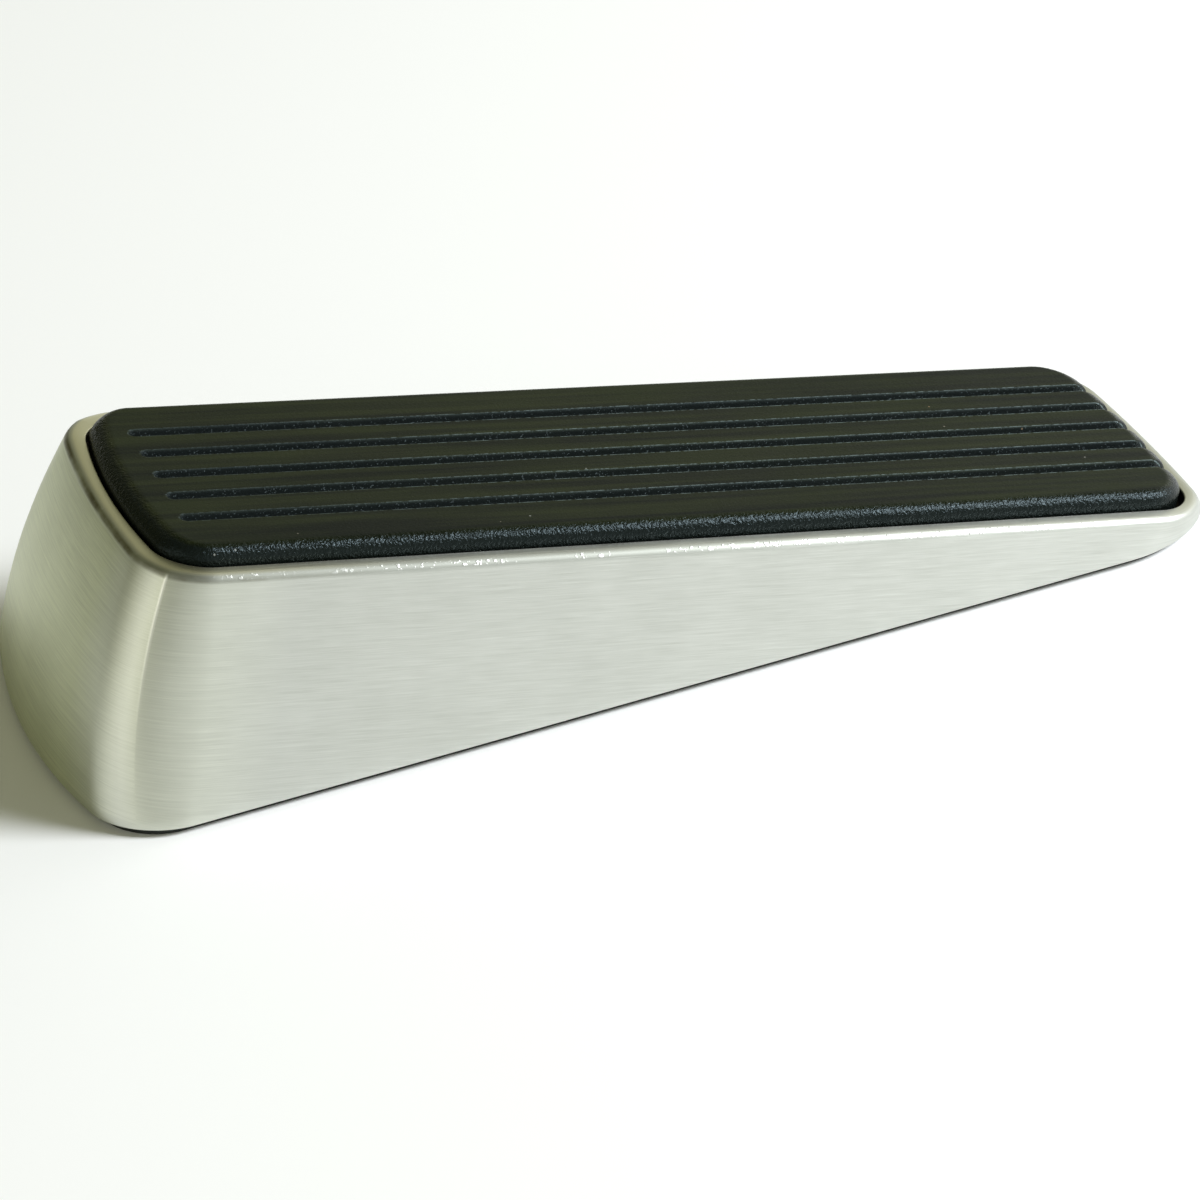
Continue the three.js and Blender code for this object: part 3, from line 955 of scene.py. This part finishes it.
def add_camera():
    back = direction(CAMERA_AZIMUTH, CAMERA_ELEVATION)
    turn = math.radians(CAMERA_AZIMUTH)
    right = Vector((math.cos(turn), math.sin(turn), 0))
    up = back.cross(right)
    roll = math.radians(CAMERA_ROLL)
    rolled_right = right * math.cos(roll) + up * math.sin(roll)
    rolled_up = up * math.cos(roll) - right * math.sin(roll)
    turned = Matrix((rolled_right, rolled_up, back)).transposed().to_4x4()
    data = bpy.data.cameras.new("camera")
    data.lens = CAMERA_LENS
    data.clip_start = NEAREST_SEEN
    camera = bpy.data.objects.new("camera", data)
    camera.matrix_world = Matrix.Translation((CAMERA_TARGET + back * CAMERA_DISTANCE) * MM) @ turned
    bpy.context.scene.collection.objects.link(camera)
    bpy.context.scene.camera = camera


def softbox(name, azimuth, elevation, distance, width, height, power, tint):
    """A rectangular light that faces the middle of the wedge."""
    data = bpy.data.lights.new(name, "AREA")
    data.shape = "RECTANGLE"
    data.size = width
    data.size_y = height
    data.energy = power
    data.color = tint
    light = bpy.data.objects.new(name, data)
    back = direction(azimuth, elevation)
    light.location = back * distance
    light.rotation_euler = back.to_track_quat("Z", "Y").to_euler()
    bpy.context.scene.collection.objects.link(light)


def add_floor():
    corners = FLOOR_REACH * np.array([(-1, -1, 0), (1, -1, 0), (1, 1, 0), (-1, 1, 0)])
    floor = make_object("floor", corners, [(0, 1, 2, 3)], smooth=False)
    wear(floor, pale_floor())


# Soft patches of light all round, as (azimuth, elevation, tightness, strength, colour).
WORLD_BASE = 0.12
WORLD_TINT = (1.0, 1.02, 0.40)
WORLD_PATCHES = (
    (8, 0, 3.0, 0.58, (0.96, 0.985, 1.01)),
    (-78, 2, 9.0, 1.8, (1.0, 1.0, 0.88)),
    (84, 4, 8.0, 1.4, (0.98, 0.99, 1.0)),
    (142, 20, 6.0, 0.40, (1.0, 1.0, 0.82)),
    (122, 14, 16.0, 0.9, (0.98, 0.99, 1.0)),
)


def add_world():
    """An even glow all round, and brighter patches that fade away from their middles."""
    world = bpy.data.worlds.new("studio")
    world.use_nodes = True
    nodes, links = world.node_tree.nodes, world.node_tree.links
    background = nodes["Background"]
    background.inputs["Strength"].default_value = 1.0

    def vector_sum(operation, first, second):
        node = nodes.new("ShaderNodeVectorMath")
        node.operation = operation
        for socket, value in zip(node.inputs, (first, second)):
            if isinstance(value, bpy.types.NodeSocket):
                links.new(value, socket)
            else:
                socket.default_value = value
        return node

    ray = nodes.new("ShaderNodeTexCoord").outputs["Generated"]
    total = [WORLD_BASE * part for part in WORLD_TINT]
    for azimuth, elevation, tightness, strength, tint in WORLD_PATCHES:
        facing = vector_sum("DOT_PRODUCT", ray, direction(azimuth, elevation)).outputs["Value"]
        power = nodes.new("ShaderNodeMath")
        power.operation = "POWER"
        above = nodes.new("ShaderNodeMath")
        above.operation = "MAXIMUM"
        above.inputs[1].default_value = 0.0
        links.new(facing, above.inputs[0])
        links.new(above.outputs[0], power.inputs[0])
        power.inputs[1].default_value = tightness
        glow = vector_sum("MULTIPLY", power.outputs[0], [strength * part for part in tint])
        total = vector_sum("ADD", glow.outputs["Vector"], total).outputs["Vector"]
    links.new(total, background.inputs["Color"])
    bpy.context.scene.world = world


def add_studio():
    add_floor()
    softbox(
        "main_light", azimuth=67, elevation=36, distance=1.2, width=0.38, height=0.42,
        power=21.0, tint=(0.95, 0.98, 1.03),
    )
    add_world()
    bpy.context.scene.view_settings.view_transform = "Standard"


add_camera()
dress_object()
add_studio()
